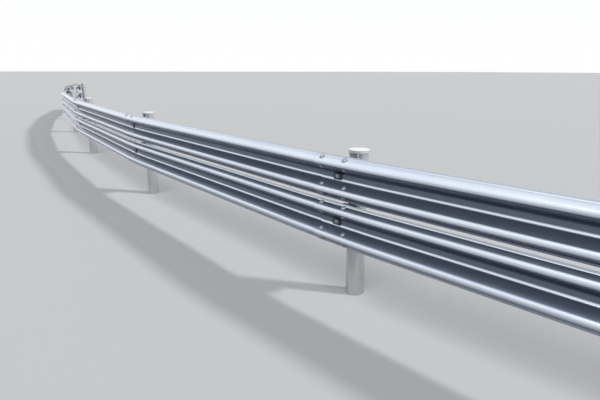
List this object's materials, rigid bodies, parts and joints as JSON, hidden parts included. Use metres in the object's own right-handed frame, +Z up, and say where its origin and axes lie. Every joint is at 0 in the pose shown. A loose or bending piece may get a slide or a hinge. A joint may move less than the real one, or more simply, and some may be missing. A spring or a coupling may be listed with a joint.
{
  "type": "highway guardrail section",
  "caption": "Curved run of double-layer W-beam guardrail: two rails, one above the other, on capped round steel posts with six-sided block-outs.",
  "frame": {"origin": "centre of the middle post's foot, at ground level", "axes": "+X along the rail at the middle post, +Y away from the traffic side, +Z up"},
  "size_m": [24.1072, 1.854, 1.1],
  "materials": {
    "rail_steel": "galvanised",
    "post_steel": "galvanised",
    "cap_steel": "galvanised",
    "bolt_steel": "galvanised",
    "plate_steel": "dark zinc",
    "block_steel": "galvanised"
  },
  "bodies": {
    "root": {"post_1": "post_steel", "post_cap_1": "cap_steel", "lower_block_out_1": "block_steel", "upper_block_out_1": "block_steel", "post_2": "post_steel", "post_cap_2": "cap_steel", "lower_block_out_2": "block_steel", "upper_block_out_2": "block_steel", "post_3": "post_steel", "post_cap_3": "cap_steel", "lower_block_out_3": "block_steel", "upper_block_out_3": "block_steel", "post_4": "post_steel", "post_cap_4": "cap_steel", "lower_block_out_4": "block_steel", "upper_block_out_4": "block_steel", "post_5": "post_steel", "post_cap_5": "cap_steel", "lower_block_out_5": "block_steel", "upper_block_out_5": "block_steel", "post_6": "post_steel", "post_cap_6": "cap_steel", "lower_block_out_6": "block_steel", "upper_block_out_6": "block_steel", "post_7": "post_steel", "post_cap_7": "cap_steel", "lower_block_out_7": "block_steel", "upper_block_out_7": "block_steel", "lower_rail_1": "rail_steel", "upper_rail_1": "rail_steel", "lower_rail_2": "rail_steel", "upper_rail_2": "rail_steel", "lower_rail_3": "rail_steel", "upper_rail_3": "rail_steel", "lower_rail_4": "rail_steel", "upper_rail_4": "rail_steel", "lower_rail_5": "rail_steel", "upper_rail_5": "rail_steel", "lower_rail_6": "rail_steel", "upper_rail_6": "rail_steel"}
  },
  "joints": []
}
